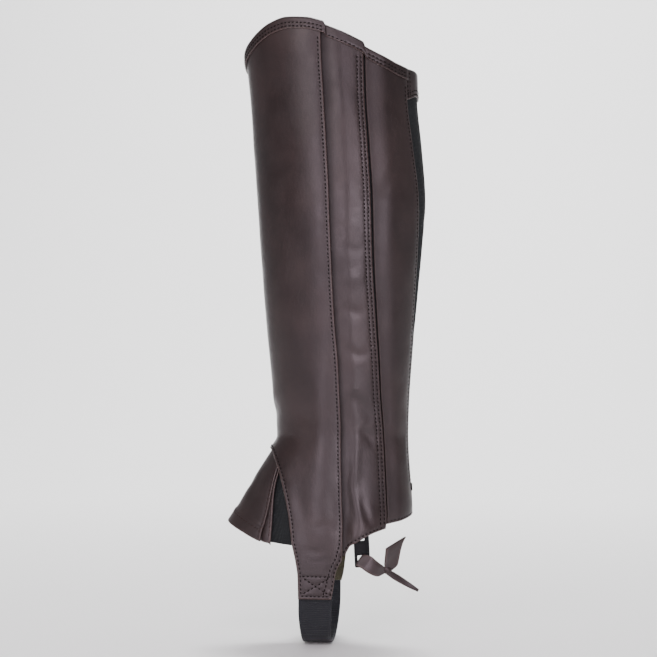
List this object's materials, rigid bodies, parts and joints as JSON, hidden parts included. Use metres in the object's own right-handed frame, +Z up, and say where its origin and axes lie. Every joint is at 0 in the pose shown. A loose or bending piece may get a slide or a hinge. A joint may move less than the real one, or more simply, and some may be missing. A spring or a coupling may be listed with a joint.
{
  "type": "half chap",
  "caption": "Leather half chap for the left leg, filled out as worn, with a rear zip, back elastic, instep flare and an elastic strap under the boot.",
  "frame": {"origin": "on the leg's axis at the widest part of the calf, where the wearer's calf holds the half chap up", "axes": "+Z up the leg, -X towards the toe, -Y towards the outer side of the left leg"},
  "size_m": [0.159, 0.1042, 0.492],
  "materials": {
    "leather": "smooth semi-matt dark brown leather",
    "leather_rear": "smooth semi-matt dark brown leather",
    "elastic": "matt black woven elastic",
    "strap_elastic": "matt black ribbed elastic",
    "zip_tape": "matt black woven tape",
    "black_metal": "satin black coated metal"
  },
  "bodies": {
    "root": {"shell_front": "leather", "zip_guard": "leather", "panel_rear": "leather_rear", "panel_inner": "leather", "elastic_back": "elastic", "elastic_cap": "leather_rear", "band_front": "leather", "band_guard": "leather", "band_rear": "leather_rear", "band_inner": "leather", "flare": "leather", "flare_strip_outer": "leather", "flare_strip_inner": "leather", "gusset_outer": "elastic", "gusset_inner": "elastic", "strap_underfoot": "strap_elastic", "zip_tape_front": "zip_tape", "zip_tape_rear": "zip_tape", "zip_chain": "black_metal", "zip_slider": "black_metal"},
    "zip_pull": {"zip_pull": "black_metal", "pull_thong": "leather"}
  },
  "joints": [
    {"name": "pull_swing", "type": "hinge", "parent": "root", "child": "zip_pull", "pos_m": [0.01884, -0.03198, -0.272], "axis": [-0.9637, -0.267, 0], "range_deg": [-24, 12]}
  ]
}
